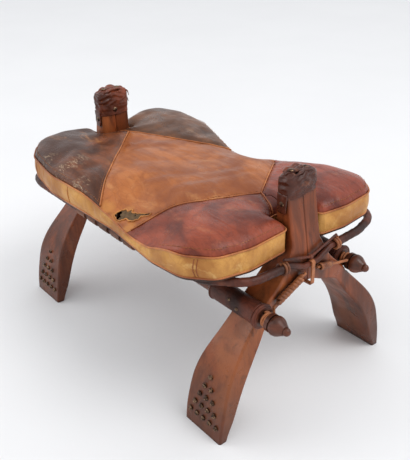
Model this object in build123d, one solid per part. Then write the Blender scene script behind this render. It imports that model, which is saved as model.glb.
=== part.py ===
"""A camel saddle stool: two pairs of curved legs pegged into posts, two turned side poles lashed
to them with leather, a bent hoop and leather straps that carry the seat, and a loose butterfly
cushion that lifts off. Millimetres, +X to the near end, -Y to the left side, +Z up, and the
origin on the floor at the middle of the feet."""

import math
import os

from build123d import *

# Overall size
foot_reach = 314.0          # half the length over the feet, along X
foot_depth = 90.0           # width of a foot, along X
leg_spread = 205.0          # half the width over the feet, along Y
foot_inner = 188.0          # half the gap between the feet of one end
post_height = 408.0         # wood of a post above the floor
post_half_width = 32.0      # one leg's half of the post, along Y
arch_height = 226.0         # underside of the arch between the legs
flare_rise = 79.0           # above the arch, where the post turns into the two legs
arris_round = 4.0           # worn corners of the legs
seam_bevel = 1.6            # bevel along the joint between the halves of a post

# Pegs through the halves of a post
peg_diameter = 10.0
lower_peg_rise = 36.0       # above the arch
upper_peg_drop = 73.0       # below the top of the post
peg_length = 46.0
peg_play = 0.05

# Side poles
pole_length = 709.0
pole_diameter = 24.0
pole_end_diameter = 32.0
pole_neck_diameter = 16.0
pole_height = 216.0
pole_stand = 21.9           # from the outer face of the legs, at that height
pole_shift = 18.5           # each pole stands further out at one end: the left one at the near end
finial_length = 41.0
finial_diameter = 33.0
nub_diameter = 14.0
nub_start = 120.0           # where the nub's ball leaves the bell, in degrees from its tip
nub_break = 60.0
neck_length = 15.0
sleeve_length = 112.0
sleeve_thickness = 2.5
saddle_play = 0.2           # between a sleeve and the hollow cut for it in a leg

# Hoop and its ties
hoop_diameter = 13.0
hoop_rise = 50.5            # above the arch
hoop_reach = 304.0
hoop_half_width = 200.0
hoop_gap = 62.0             # half the gap at each end, bridged by a link
hoop_corner = 52.0
hoop_waist = 180.0          # the right half is drawn in at its middle
link_diameter = 10.0
link_drop = 14.5            # below the hoop, where the link crosses the post
link_bend = 14.0

# Leather thongs
thong_diameter = 4.4
core_diameter = 4.6
neck_turns = 2
wrap_diameter = 4.2
wrap_pitch = 8.6
left_wrap_turns = 8
right_wrap_turns = 4
left_bend_rise = 0.0        # above the pole, where a lashing turns round the edge of the leg
right_bend_rise = 16.0
beside_bend_inset = 23.5    # in from the pole, if the neck lies beside the leg
beyond_bend_inset = 31.5    # and if the neck stands out beyond the leg
lash_top_offset = 13.0
lash_top_rise = 24.0        # above the arch
turn_gap = 0.9              # clear space between the turns of a close winding
touch = 0.3                 # clearance of soft pieces from what they lie on

# Straps
apex_strap_width = 7.0
apex_strap_thickness = 2.4
apex_strap_bend = 3.4
cross_strap_width = 30.0
cross_strap_thickness = 2.2
cross_strap_pitch = 38.0
cross_strap_count = 5
long_strap_width = 34.0

# Tacks
tack_diameter = 6.6
tack_rise = 2.6
shank_diameter = 1.6
shank_length = 7.0
tack_pitch = 16.0
tack_row_pitch = 19.6
tack_first_row = 27.0
tack_rows = 5

# Leather caps
cap_thickness = 3.0
cap_depth = 38.0
cap_top = 8.0
flap_depth = 26.0
flap_width = 20.0

# Cushion
cushion_reach = 291.0
cushion_left = 218.0
cushion_right = 187.0
tuck_height = 9.35
band_height = 36.0
crown_rise = 25.0
channel_width = 6.0         # the seams of the top lie in shallow channels
channel_depth = 3.0
notch_reach = 240.0
notch_half_width = 38.0

# Outlines, as shares of the sizes that they follow
outer_curve_shares = (
    (1.0, 0.0), (0.977, 0.106), (0.939, 0.213), (0.89, 0.318), (0.792, 0.425), (0.642, 0.531),
    (0.468, 0.637), (0.312, 0.736), (0.116, 0.852), (0.023, 0.951), (0.0, 1.0),
)
inner_curve_shares = (
    (0.0, 1.0), (0.174, 0.951), (0.416, 0.86), (0.542, 0.717), (0.676, 0.573), (0.784, 0.43),
    (0.863, 0.287), (0.928, 0.143), (1.0, 0.0),
)
seat_edge_shares = (
    (-1.0, 0.0), (-0.911, 0.24), (-0.8, 0.318), (-0.644, 0.397), (-0.567, 0.475),
    (-0.467, 0.588), (-0.389, 0.711), (-0.322, 0.858), (-0.311, 1.0),
)
end_edge_shares = (
    (1.0, 0.0), (1.009, 0.16), (0.978, 0.238), (0.904, 0.318), (0.767, 0.397), (0.689, 0.475),
    (0.711, 0.569), (0.644, 0.686), (0.433, 0.819), (0.311, 0.895), (0.178, 1.0),
)
finial_body_shares = ((0.16, 0.8), (0.3, 1.0), (0.5, 0.9), (0.68, 0.62), (0.78, 0.42))
left_hoop_shares = (
    (0.987, 0.625), (0.783, 0.95), (0.493, 1.0), (-0.773, 1.0), (-0.96, 0.89), (-1.007, 0.575),
)
right_hoop_shares = ((1.007, 0.625), (0.98, 0.92), (0.83, 1.07))
waist_share = 0.333         # of the hoop's reach
link_shares = (0.78, 0.26)  # where the link starts to dip, and where it lies level, of the gap
rim_share = 0.94            # of the finial's radius
round_share = 0.7           # of a thickness, for the worn edge of a sleeve
sleeve_tack_shares = (0.56, 0.38)
sleeve_tack_angles = (28.0, 4.0)
cushion_level_shares = (    # of the rise from the seam to the crown, and the draw towards the lobes
    (0.0, 0.0), (0.45, 0.07), (0.8, 0.22), (1.0, 0.5),
)
tuck_share = 0.1            # draw of the cushion's base
lobe_shares = {
    "near left": (0.64, -0.57), "far left": (-0.67, -0.55), "far right": (-0.7, 0.51),
    "near right": (0.69, 0.53), "waist": (0.07, -0.25),
}
cushion_corner_shares = (
    (0.99, "slot-", 0.035, "near left"), (1.01, -0.55, 0.14, "near left"),
    (0.965, -0.82, 0.12, "near left"), (0.82, -0.98, 0.17, "near left"),
    (0.58, -1.01, 0.2, "near left"), (0.07, -0.945, 0.7, "waist"),
    (-0.52, -0.985, 0.5, "far left"), (-0.86, -0.905, 0.27, "far left"),
    (-1.04, -0.75, 0.17, "far left"), (-1.075, -0.48, 0.17, "far left"),
    (-1.0, "slot-", 0.035, "far left"), ("notch-", "slot-", 0.04, "far left"),
    ("notch-", "slot+", 0.04, "far right"), (-1.0, "slot+", 0.035, "far right"),
    (-1.09, 0.48, 0.15, "far right"), (-1.03, 0.775, 0.17, "far right"),
    (-0.81, 0.92, 0.2, "far right"), (-0.52, 0.88, 0.2, "far right"),
    (0.12, 0.49, 0.3, "waist"), (0.62, 0.97, 0.15, "near right"),
    (0.87, 1.03, 0.17, "near right"), (0.99, 0.87, 0.12, "near right"),
    (1.015, 0.5, 0.2, "near right"), (0.99, "slot+", 0.035, "near right"),
    ("notch+", "slot+", 0.04, "near right"), ("notch+", "slot-", 0.04, "near left"),
)
channel_shares = (          # ends of each seam of the middle diamond, and of the two short seams
    ((-0.7, -0.02), (0.096, -0.99)), ((0.656, -0.01), (0.37, -0.96)),
    ((-0.7, -0.02), (0.0, 0.535)), ((0.656, -0.01), (0.385, 0.58)),
    ((0.656, -0.01), (0.86, -0.12)), ((-0.7, -0.02), (-0.86, -0.1)),
)

SIDES = {"left": -1, "right": 1}
ENDS = {"near": 1, "far": -1}

foot_centre = foot_reach - foot_depth / 2
sleeve_radius = pole_end_diameter / 2 + sleeve_thickness
flare_height = arch_height + flare_rise
hoop_height = arch_height + hoop_rise
link_dip = hoop_height - link_drop
lash_top_height = arch_height + lash_top_rise
strap_inner = (hoop_diameter + touch) / 2
cushion_base = hoop_height + strap_inner + cross_strap_thickness + touch
cushion_band_bottom = cushion_base + tuck_height
cushion_seam = cushion_band_bottom + band_height
cushion_crown = cushion_seam + crown_rise


def read_off(shares, share):
    """The first share of a table's row, read off between the rows that its second one lies in."""
    for (first_low, low), (first_high, high) in zip(shares, shares[1:]):
        if share <= high:
            return first_low + (share - low) / (high - low) * (first_high - first_low)
    return shares[-1][0]


def between(shares, height):
    """The X of a leg's edge at a height."""
    return foot_centre + foot_depth / 2 * read_off(shares, height / post_height)


def leg_outside(height):
    """The Y of the outer face of a leg at a height."""
    span = leg_spread - post_half_width
    return post_half_width + span * read_off(outer_curve_shares, height / flare_height)


pole_offset = round(leg_outside(pole_height) + pole_stand, 1)    # to a tenth of a millimetre


def placed(shape, end, side):
    """A piece of the near right quarter, moved to its own quarter."""
    if side < 0:
        shape = mirror(shape, about=Plane.XZ)
    if end < 0:
        shape = mirror(shape, about=Plane.YZ)
    return shape


def outer_curve():
    """The outer face of a leg, seen from the end of the stool, from the floor up."""
    span = leg_spread - post_half_width
    points = [(post_half_width + s * span, t * flare_height) for s, t in outer_curve_shares]
    return Spline(*points, tangents=[(-0.1, 1), (0, 1)])


def leg_blank():
    """A leg with its half of the post, sawn from a plank along two outlines."""
    arch = [(s * foot_inner, t * arch_height) for s, t in inner_curve_shares]
    inner = Spline(*arch, tangents=[(1, 0), (0.3, -1)])
    top = Polyline(
        (post_half_width, flare_height), (post_half_width, post_height), (0, post_height),
        (0, arch_height),
    )
    foot = Line(inner @ 1, (leg_spread, 0))
    end_view = make_face([outer_curve(), top, inner, foot])

    def edge(shares):
        half = foot_depth / 2
        return Spline(*[(foot_centre + half * s, t * post_height) for s, t in shares])

    seat_edge = edge(seat_edge_shares)
    end_edge = edge(end_edge_shares)
    side_view = make_face(
        [seat_edge, Line(seat_edge @ 1, end_edge @ 1), end_edge, Line(end_edge @ 0, seat_edge @ 0)]
    )
    along_x = extrude(Plane.YZ * end_view, amount=2 * foot_reach)
    along_y = extrude(Plane.XZ * side_view, amount=2 * leg_spread, both=True)
    return along_x & along_y


def worn(blank):
    """The blank with its long corners worn round, and a bevel down each edge of the joint."""
    def is_arris(edge):
        box = edge.bounding_box()
        return box.size.Z > foot_depth / 2 and box.max.Y > arris_round

    def is_joint(edge):
        box = edge.bounding_box()
        return box.size.Z > foot_depth / 2 and box.max.Y < seam_bevel

    rounded = fillet(blank.edges().filter_by(is_arris), radius=arris_round)
    return chamfer(rounded.edges().filter_by(is_joint), length=seam_bevel)


def peg_places():
    """The middle of each peg in the near post."""
    for height in (arch_height + lower_peg_rise, post_height - upper_peg_drop):
        middle = (between(seat_edge_shares, height) + between(end_edge_shares, height)) / 2
        yield middle, height


def pegs(play=0.0):
    """The round pegs that hold the two halves of the near post together."""
    return [
        Plane((x, 0, z), z_dir=(0, 1, 0)) * Cylinder(peg_diameter / 2 + play, peg_length + 2 * play)
        for x, z in peg_places()
    ]


def leg():
    """The near right leg, pegged, with the hollow that its pole lies in."""
    hollow = Plane((foot_centre, pole_offset, pole_height), z_dir=(1, 0, 0)) * Cylinder(
        sleeve_radius + saddle_play, 2 * foot_depth
    )
    return worn(leg_blank()) - hollow - pegs(peg_play)


def tack(shank=shank_length):
    """A domed tack, head up, driven along -Z at the origin."""
    ball = (tack_diameter**2 / 4 + tack_rise**2) / (2 * tack_rise)
    dome = Pos(0, 0, tack_rise - ball) * Sphere(ball)
    half = Pos(0, 0, ball) * Box(2 * ball, 2 * ball, 2 * ball)
    nail = Pos(0, 0, -shank / 2) * Cylinder(shank_diameter / 2, shank)
    return (dome & half) + nail


def foot_tacks():
    """A triangle of tacks on the outer face of the near right foot."""
    curve = outer_curve()
    tacks = []
    for row in range(tack_rows):
        distance = tack_first_row + row * tack_row_pitch
        place = curve.position_at(distance, position_mode=PositionMode.LENGTH)
        along = curve.tangent_at(distance, position_mode=PositionMode.LENGTH)
        count = tack_rows - row
        for number in range(count):
            x = foot_centre + (number - (count - 1) / 2) * tack_pitch
            seat = Plane((x, place.X, place.Y), x_dir=(1, 0, 0), z_dir=(0, along.Y, -along.X))
            tacks.append(seat * tack())
    return tacks


# Leather caps on the posts

def post_section(height, grown):
    """The outline of a post at a height, grown on every side."""
    low = between(seat_edge_shares, height) - grown
    high = between(end_edge_shares, height) + grown
    outline = Rectangle(high - low, 2 * (post_half_width + grown))
    return Plane(((low + high) / 2, 0, height)) * outline


def cap(legs):
    """A leather cap folded over the near post, with a flap down its left face."""
    hem = post_height + cap_top - cap_depth
    shoulder = post_section(post_height, cap_thickness)
    lid = Pos(0, 0, cap_top) * shoulder
    skin = loft([post_section(hem, cap_thickness), shoulder]) + loft([shoulder, lid])
    is_round = [e for e in skin.edges() if e.bounding_box().max.Z > post_height]
    skin = fillet(is_round, radius=cap_thickness)
    middle = (between(seat_edge_shares, hem) + between(end_edge_shares, hem)) / 2
    flap = Pos(middle, -post_half_width - cap_thickness / 2, hem) * Box(
        flap_width, cap_thickness, 2 * flap_depth
    )
    return skin + flap - legs


def cap_tacks():
    """Three tacks through the near cap: two in its top and one in its flap."""
    middle = (between(seat_edge_shares, post_height) + between(end_edge_shares, post_height)) / 2
    top = post_height + cap_top
    crown = [Pos(middle, side * post_half_width / 2, top) * tack(cap_top) for side in (-1, 1)]
    height = post_height + cap_top - cap_depth - flap_depth / 2
    across = (between(seat_edge_shares, height) + between(end_edge_shares, height)) / 2
    side = Plane(
        (across, -post_half_width - cap_thickness, height), x_dir=(1, 0, 0), z_dir=(0, -1, 0)
    )
    return crown + [side * tack()]


# Side poles, with their leather sleeves and nails

def pole(shift):
    """A turned pole along X, with a neck and a bell-shaped finial at each end."""
    tip = pole_length / 2
    neck_out = tip - finial_length
    neck_in = neck_out - neck_length
    thick = neck_in - sleeve_length
    taper = pole_end_diameter - pole_diameter
    radius = finial_diameter / 2
    nub = nub_diameter / 2

    def on_nub(degrees):
        angle = math.radians(degrees)
        return (tip - nub + nub * math.cos(angle), nub * math.sin(angle))

    bell_points = [(neck_out + s * finial_length, t * radius) for s, t in finial_body_shares]
    bell = Spline(*bell_points, on_nub(nub_start))
    rim = (bell_points[0][0], rim_share * radius)
    turning = Polyline(
        (0, 0), (0, pole_diameter / 2), (thick - taper, pole_diameter / 2),
        (thick, pole_end_diameter / 2), (neck_in, pole_end_diameter / 2),
        (neck_in, pole_neck_diameter / 2), (neck_out, pole_neck_diameter / 2),
        (neck_out, rim[1]), rim, bell_points[0],
    )
    ball = ThreePointArc(on_nub(nub_start), on_nub(nub_break), (tip, 0))
    half = revolve(make_face([turning, bell, ball, Line((tip, 0), (0, 0))]), Axis.X)
    return Pos(shift, 0, 0) * (half + mirror(half, about=Plane.YZ))


def neck_reach(shift, end):
    """How far out along its end a pole's sleeve stops, and its neck begins."""
    return pole_length / 2 - finial_length - neck_length + end * shift


def sleeve(reach):
    """A leather sleeve on a pole's thick end, up to its neck."""
    inner = pole_end_diameter / 2 + peg_play
    tube = Cylinder(sleeve_radius, sleeve_length) - Cylinder(inner, sleeve_length)
    outer = tube.edges().filter_by(lambda e: e.bounding_box().size.X > 2 * inner + sleeve_thickness)
    tube = fillet(outer, radius=round_share * sleeve_thickness)
    return Plane((reach - sleeve_length / 2, 0, 0), z_dir=(1, 0, 0)) * tube


def sleeve_tacks(reach):
    """Two tacks through a sleeve into the pole, on its outer side."""
    tacks = []
    for back_share, angle in zip(sleeve_tack_shares, sleeve_tack_angles):
        out = Vector(0, math.cos(math.radians(angle)), math.sin(math.radians(angle)))
        place = Vector(reach - back_share * sleeve_length, 0, 0) + out * sleeve_radius
        tacks.append(Plane(place, x_dir=(1, 0, 0), z_dir=out) * tack(2 * shank_length))
    return tacks


# Hoop, links and the thongs that bind them

def tube(path, diameter):
    """A round tube along a path."""
    start = Plane(path @ 0, z_dir=path % 0)
    return sweep(start * Circle(diameter / 2), path=path)


def hoop(side):
    """One half of the bent hoop, from the gap at the near end to the gap at the far end."""
    if side < 0:
        bends = [(s * hoop_reach, -t * hoop_half_width) for s, t in left_hoop_shares]
    else:
        near = [(s * hoop_reach, t * hoop_half_width) for s, t in right_hoop_shares]
        waist = [(waist_share * hoop_reach, hoop_waist), (-waist_share * hoop_reach, hoop_waist)]
        bends = near + waist + [(-x, y) for x, y in reversed(near)]
    ends = [(hoop_reach, side * hoop_gap), (-hoop_reach, side * hoop_gap)]
    points = [(x, y, hoop_height) for x, y in [ends[0], *bends, ends[1]]]
    return tube(FilletPolyline(*points, radius=hoop_corner), hoop_diameter)


def link_reach():
    """How far out the middle of the near link lies, clear of the face of the post."""
    return max(between(end_edge_shares, link_dip) + 3 * touch + link_diameter / 2, hoop_reach)


def hoop_link():
    """The rod that dips across the face of the near post from one half of the hoop to the other."""
    dip_share, level_share = link_shares
    half = [
        (hoop_reach, hoop_gap - touch, hoop_height),
        (hoop_reach, dip_share * hoop_gap, hoop_height),
        (link_reach(), level_share * hoop_gap, link_dip),
    ]
    points = half + [(x, -y, z) for x, y, z in reversed(half)]
    return tube(FilletPolyline(*points, radius=link_bend), link_diameter)


def biarc(start, start_along, stop, stop_along):
    """Two tangent arcs that join two points with given directions."""
    chord = stop - start
    both = start_along + stop_along
    spread = 2 * (1 - start_along.dot(stop_along))
    reach = (math.sqrt(chord.dot(both) ** 2 + spread * chord.dot(chord)) - chord.dot(both)) / spread
    first, second = start + start_along * reach, stop - stop_along * reach
    middle = (first + second) / 2
    return [
        TangentArc(start, middle, tangent=start_along),
        TangentArc(middle, stop, tangent=second - first),
    ]


def winding(name, frame, radius, pitch, turns, diameter):
    """A thong wound about the Z axis of a frame, as one unbroken tube centred on its origin."""
    def at(turn):
        angle = 2 * math.pi * turn
        local = Vector(radius * math.cos(angle), radius * math.sin(angle), (turn - turns / 2) * pitch)
        return frame.from_local_coords(local)

    def along(turn):
        angle = 2 * math.pi * turn
        local = Vector(-math.sin(angle), math.cos(angle), pitch / (2 * math.pi * radius))
        return (frame.from_local_coords(local) - frame.origin).normalized()

    arcs = []
    for half in range(int(2 * turns)):
        low, high = half / 2, (half + 1) / 2
        arcs += biarc(at(low), along(low), at(high), along(high))
    gap = min(
        (at(step / 12) - at(step / 12 + 1)).length for step in range(int(12 * (turns - 1)) + 1)
    ) - diameter
    print(name, "least gap between turns", round(gap, 2), "mm")
    return tube(Wire(arcs), diameter)


def hoop_loop(name, side):
    """A thong wound round the joint of a hoop half and its link at the near end."""
    frame = Plane((hoop_reach, side * hoop_gap, hoop_height), z_dir=(0, 1, 0))
    radius = (hoop_diameter + thong_diameter) / 2 + touch
    return winding(name, frame, radius, thong_diameter + turn_gap, neck_turns, thong_diameter)


def front_strand():
    """A thong that hangs in a V across the near post, from loop to loop, with a knot in its middle."""
    top = hoop_height + hoop_diameter / 2 + 2 * thong_diameter + 2 * touch
    strap_top = link_dip + link_diameter / 2 + touch + apex_strap_thickness
    knot_height = strap_top + touch + thong_diameter
    points = [
        (hoop_reach, -hoop_gap, top), (link_reach(), 0, knot_height), (hoop_reach, hoop_gap, top),
    ]
    strand = tube(FilletPolyline(*points, radius=2 * thong_diameter), thong_diameter)
    knot = Pos(points[1]) * Sphere(thong_diameter)
    return strand + knot


def apex_inside():
    """The X of the near apex strap where it stands up behind the arch."""
    return between(seat_edge_shares, arch_height) - 2 * touch - apex_strap_thickness / 2


def apex_strap():
    """A flat strap hooked over the near link, down its post, under the arch and up inside."""
    over = touch + apex_strap_thickness / 2
    out = link_reach() + link_diameter / 2 + over
    top = link_dip + link_diameter / 2 + over
    bottom = arch_height - over
    points = [
        (link_reach(), 0, top), (out, 0, top), (out, 0, bottom), (apex_inside(), 0, bottom),
        (apex_inside(), 0, hoop_height - touch),
    ]
    path = FilletPolyline(*points, radius=apex_strap_bend)
    start = Plane(path @ 0, x_dir=(0, 1, 0), z_dir=path % 0)
    return sweep(start * Rectangle(apex_strap_width, apex_strap_thickness), path=path)


# Lashings from the necks of the poles to the arches

def lash_plane():
    """How far out a lashing runs, clear of the end face of the legs."""
    return between(end_edge_shares, pole_height) + 3 * touch + core_diameter / 2 + wrap_diameter


def neck_winding(name, reach):
    """The thong wound round the neck of the near right pole."""
    frame = Plane((reach + neck_length / 2, pole_offset, pole_height), z_dir=(1, 0, 0))
    radius = (pole_neck_diameter + thong_diameter) / 2 + touch
    pitch = (neck_length - thong_diameter - 2 * touch) / neck_turns
    return winding(name, frame, radius, pitch, neck_turns, thong_diameter)


def lashing_route(reach, bend_height):
    """The points of a lashing's core, from the neck round the edge of the leg to the arch."""
    off_axis = pole_neck_diameter / 2 + thong_diameter + 2 * touch + core_diameter / 2
    plane = lash_plane()
    bend_offset = pole_offset - (beyond_bend_inset if reach > plane else beside_bend_inset)
    return [
        Vector(reach + neck_length / 2, pole_offset - off_axis, pole_height + thong_diameter / 2),
        Vector(plane, bend_offset, bend_height),
        Vector(plane, lash_top_offset, lash_top_height),
    ]


def lashing_core(route):
    """The straight thong inside a lashing."""
    return tube(FilletPolyline(*route, radius=core_diameter), core_diameter)


def lashing_wrap(name, route, turns):
    """The thong wound round a lashing's core, tight up to the arch."""
    along = (route[2] - route[1]).normalized()
    middle = route[2] - along * (wrap_diameter + turns * wrap_pitch / 2)
    radius = (core_diameter + wrap_diameter) / 2 + touch
    frame = Plane(middle, x_dir=(1, 0, 0), z_dir=along)
    return winding(name, frame, radius, wrap_pitch, turns, wrap_diameter)


# Straps that carry the cushion

def cross_straps():
    """Flat straps looped round both halves of the hoop."""
    span = hoop_half_width + hoop_waist
    outer = 2 * (strap_inner + cross_strap_thickness)
    ring = SlotCenterToCenter(span, outer) - SlotCenterToCenter(span, 2 * strap_inner)
    band = extrude(ring, amount=cross_strap_width / 2, both=True)
    straps = []
    for number in range(cross_strap_count):
        x = (number - (cross_strap_count - 1) / 2) * cross_strap_pitch
        middle = (hoop_waist - hoop_half_width) / 2
        straps.append(Plane((x, middle, hoop_height), x_dir=(0, 1, 0), z_dir=(1, 0, 0)) * band)
    return straps


def long_strap():
    """The strap that lies in the loops of the cross straps, from one apex strap to the other."""
    half = apex_inside() - apex_strap_thickness / 2 - touch
    height = hoop_height - strap_inner + touch + cross_strap_thickness / 2
    return Pos(0, 0, height) * Box(2 * half, long_strap_width, cross_strap_thickness)


# Cushion

def on_cushion(x_share, y_share):
    """A place on the cushion, from its shares of the cushion's reach and side widths."""
    side = cushion_left if y_share < 0 else cushion_right
    return x_share * cushion_reach, y_share * side


def cushion_corners():
    """Corner points of the cushion's seam as (x, y, radius, centre of the lobe they belong to)."""
    special = {
        "slot-": -notch_half_width, "slot+": notch_half_width,
        "notch-": -notch_reach, "notch+": notch_reach,
    }
    for x, y, radius_share, lobe in cushion_corner_shares:
        shared_x = 0 if x in special else x
        shared_y = 0 if y in special else y
        px, py = on_cushion(shared_x, shared_y)
        yield special.get(x, px), special.get(y, py), radius_share * cushion_reach, lobe


def cushion_section(height, drawn):
    """The cushion's outline at a height, drawn in towards the middle of each lobe by a share."""
    points, radii = [], []
    for x, y, radius, lobe in cushion_corners():
        lobe_x, lobe_y = on_cushion(*lobe_shares[lobe])
        points.append((x + drawn * (lobe_x - x), y + drawn * (lobe_y - y)))
        radii.append(radius * (1 - drawn))
    return Pos(0, 0, height) * make_face(FilletPolyline(*points, radius=radii, close=True))


def channel_walls():
    """Thin upright walls along the seams that divide the cushion's top."""
    height = cushion_crown + channel_depth - cushion_band_bottom
    walls = []
    for first, last in channel_shares:
        start, stop = Vector(*on_cushion(*first)), Vector(*on_cushion(*last))
        middle = (start + stop) / 2
        place = Plane((middle.X, middle.Y, cushion_band_bottom + height / 2), x_dir=stop - start)
        walls.append(place * Box((stop - start).length + channel_width, channel_width, height))
    return walls


def cushion():
    """The loose butterfly cushion: a tucked base, an upright band and a crown over four lobes."""
    rise = cushion_crown - cushion_seam
    levels = [(cushion_base, tuck_share), (cushion_band_bottom, 0)]
    levels += [(cushion_seam + up * rise, drawn) for up, drawn in cushion_level_shares]
    body = loft([cushion_section(height, drawn) for height, drawn in levels], ruled=True)
    lowered = Pos(0, 0, -channel_depth) * body
    return body - [wall - lowered for wall in channel_walls()]


# Every piece, written one file to a node

def write(name, shape):
    """Write a node as its own file, as one group when it has several solids."""
    if isinstance(shape, list):
        shape = Compound(children=[Compound(piece.solids()) for piece in shape])
    export_step(shape, f"parts/{name}.step")


def build():
    """Make every piece of the stool and write it."""
    os.makedirs("parts", exist_ok=True)
    base_leg = leg()
    shifts = {"left": pole_shift, "right": -pole_shift}
    bends = {"left": pole_height + left_bend_rise, "right": pole_height + right_bend_rise}
    turns = {"left": left_wrap_turns, "right": right_wrap_turns}
    for end, along in ENDS.items():
        for side, across in SIDES.items():
            quarter = f"{end}_{side}"
            reach = neck_reach(shifts[side], along)
            axis = Pos(0, pole_offset, pole_height)
            route = lashing_route(reach, bends[side])
            write(f"{quarter}_leg", placed(base_leg, along, across))
            write(f"{quarter}_foot_tacks", [placed(t, along, across) for t in foot_tacks()])
            write(f"{quarter}_sleeve", placed(axis * sleeve(reach), along, across))
            nails = [placed(axis * t, along, across) for t in sleeve_tacks(reach)]
            write(f"{quarter}_sleeve_tacks", nails)
            wound = neck_winding(f"{quarter}_neck_wrap", reach)
            write(f"{quarter}_neck_wrap", placed(wound, along, across))
            write(f"{quarter}_lashing_core", placed(lashing_core(route), along, across))
            wrap = lashing_wrap(f"{quarter}_lashing_wrap", route, turns[side])
            write(f"{quarter}_lashing_wrap", placed(wrap, along, across))
            loop = hoop_loop(f"{quarter}_hoop_loop", 1)
            write(f"{quarter}_hoop_loop", placed(loop, along, across))
        write(f"{end}_post_pegs", [placed(p, along, 1) for p in pegs()])
        legs = [base_leg, mirror(base_leg, about=Plane.XZ)]
        write(f"{end}_post_cap", placed(cap(legs), along, 1))
        write(f"{end}_cap_tacks", [placed(t, along, 1) for t in cap_tacks()])
        write(f"{end}_hoop_link", placed(hoop_link(), along, 1))
        write(f"{end}_front_strand", placed(front_strand(), along, 1))
        write(f"{end}_apex_strap", placed(apex_strap(), along, 1))
    for side, across in SIDES.items():
        place = Pos(0, across * pole_offset, pole_height)
        write(f"{side}_pole", place * pole(shifts[side]))
        write(f"{side}_hoop", hoop(across))
    write("seat_cross_straps", cross_straps())
    write("seat_long_strap", long_strap())
    write("cushion", cushion())


build()
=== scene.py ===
"""Looks for the camel saddle stool: its leather cushion, caps, thongs and straps, and its worn wood."""
from math import cos, exp, pi, radians, sin, sqrt, tan, tau

import bmesh
import bpy
from mathutils import Matrix, Vector, noise
from mathutils.bvhtree import BVHTree
from mathutils.kdtree import KDTree


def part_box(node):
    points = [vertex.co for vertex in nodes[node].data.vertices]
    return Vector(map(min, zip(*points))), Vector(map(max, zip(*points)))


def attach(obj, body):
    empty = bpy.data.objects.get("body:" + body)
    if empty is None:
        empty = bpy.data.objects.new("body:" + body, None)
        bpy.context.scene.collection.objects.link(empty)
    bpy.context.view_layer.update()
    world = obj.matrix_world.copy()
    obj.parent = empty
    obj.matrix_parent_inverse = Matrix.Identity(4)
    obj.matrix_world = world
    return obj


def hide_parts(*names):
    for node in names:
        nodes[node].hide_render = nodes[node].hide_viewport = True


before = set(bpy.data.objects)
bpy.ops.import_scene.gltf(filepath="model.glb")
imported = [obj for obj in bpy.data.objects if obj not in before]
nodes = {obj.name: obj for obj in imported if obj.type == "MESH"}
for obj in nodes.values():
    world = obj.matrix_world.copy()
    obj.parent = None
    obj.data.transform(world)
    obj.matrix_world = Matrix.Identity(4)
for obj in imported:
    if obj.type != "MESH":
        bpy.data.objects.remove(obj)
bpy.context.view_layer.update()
MM = 0.001
DOWN = Vector((0, 0, -1))
ENDS = {"near": 1, "far": -1}
SIDES = {"left": -1, "right": 1}

# Camera and light

CAMERA_PLACE = (0.917, -0.716, 0.835)
CAMERA_YAW = radians(50.9)
CAMERA_PITCH = radians(28.71)
CAMERA_ROLL = radians(-1.25)
CAMERA_LENS = 52.5
CAMERA_SENSOR = 36
LAMP_AIM = Vector((0, 0, 0.2))
LAMPS = (       # each lamp's name, place and size in metres, and power in watts
    ("key lamp", (2.3, 0.9, 3.6), 2.4, 66), ("fill lamp", (-2.2, -2.2, 2.4), 2.6, 30),
)
FLOOR_REACH = 6.0
FLOOR_COLOUR, FLOOR_SHADE = (0.78, 0.783, 0.79, 1), (0.765, 0.768, 0.775, 1)
SKY_COLOUR, SKY_STRENGTH = (0.97, 0.98, 1.0, 1), 0.97


def placed(name, data):
    """A new object in the scene."""
    made = bpy.data.objects.new(name, data)
    bpy.context.scene.collection.objects.link(made)
    return made


def add_camera():
    """The camera that took the photograph."""
    ahead = Vector((
        -sin(CAMERA_YAW) * cos(CAMERA_PITCH),
        cos(CAMERA_YAW) * cos(CAMERA_PITCH),
        -sin(CAMERA_PITCH),
    ))
    level = Vector((cos(CAMERA_YAW), sin(CAMERA_YAW), 0))
    up = level.cross(ahead)
    across = level * cos(CAMERA_ROLL) + up * sin(CAMERA_ROLL)
    up = up * cos(CAMERA_ROLL) - level * sin(CAMERA_ROLL)
    data = bpy.data.cameras.new("camera")
    data.lens = CAMERA_LENS
    data.sensor_width = CAMERA_SENSOR
    camera = placed("camera", data)
    turn = Matrix((across, up, -ahead)).transposed().to_4x4()
    camera.matrix_world = Matrix.Translation(CAMERA_PLACE) @ turn
    bpy.context.scene.camera = camera


def add_lamp(name, place, size, power):
    """A round lamp aimed at the stool."""
    data = bpy.data.lights.new(name, "AREA")
    data.shape = "DISK"
    data.size = size
    data.energy = power
    lamp = placed(name, data)
    lamp.location = place
    lamp.rotation_euler = (LAMP_AIM - Vector(place)).to_track_quat("-Z", "Y").to_euler()


# Materials

WORN_PLACES = ((50, -203, 317), (90, -205, 313), (20, -200, 325), (60, -185, 326))
SCUFFED_PLACES = ((-193, -202, 345), (-124, -205, 340), (-56, -206, 341), (-125, -170, 351))
SOILED_PLACES = ((190, -214, 300), (60, -212, 300), (-150, -215, 298))


def linear(rgb):
    """A colour written as 0 to 255, as the shader wants it."""
    return tuple(((c / 255 + 0.055) / 1.055) ** 2.4 if c > 10 else c / 255 / 12.92 for c in rgb) + (1,)


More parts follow.
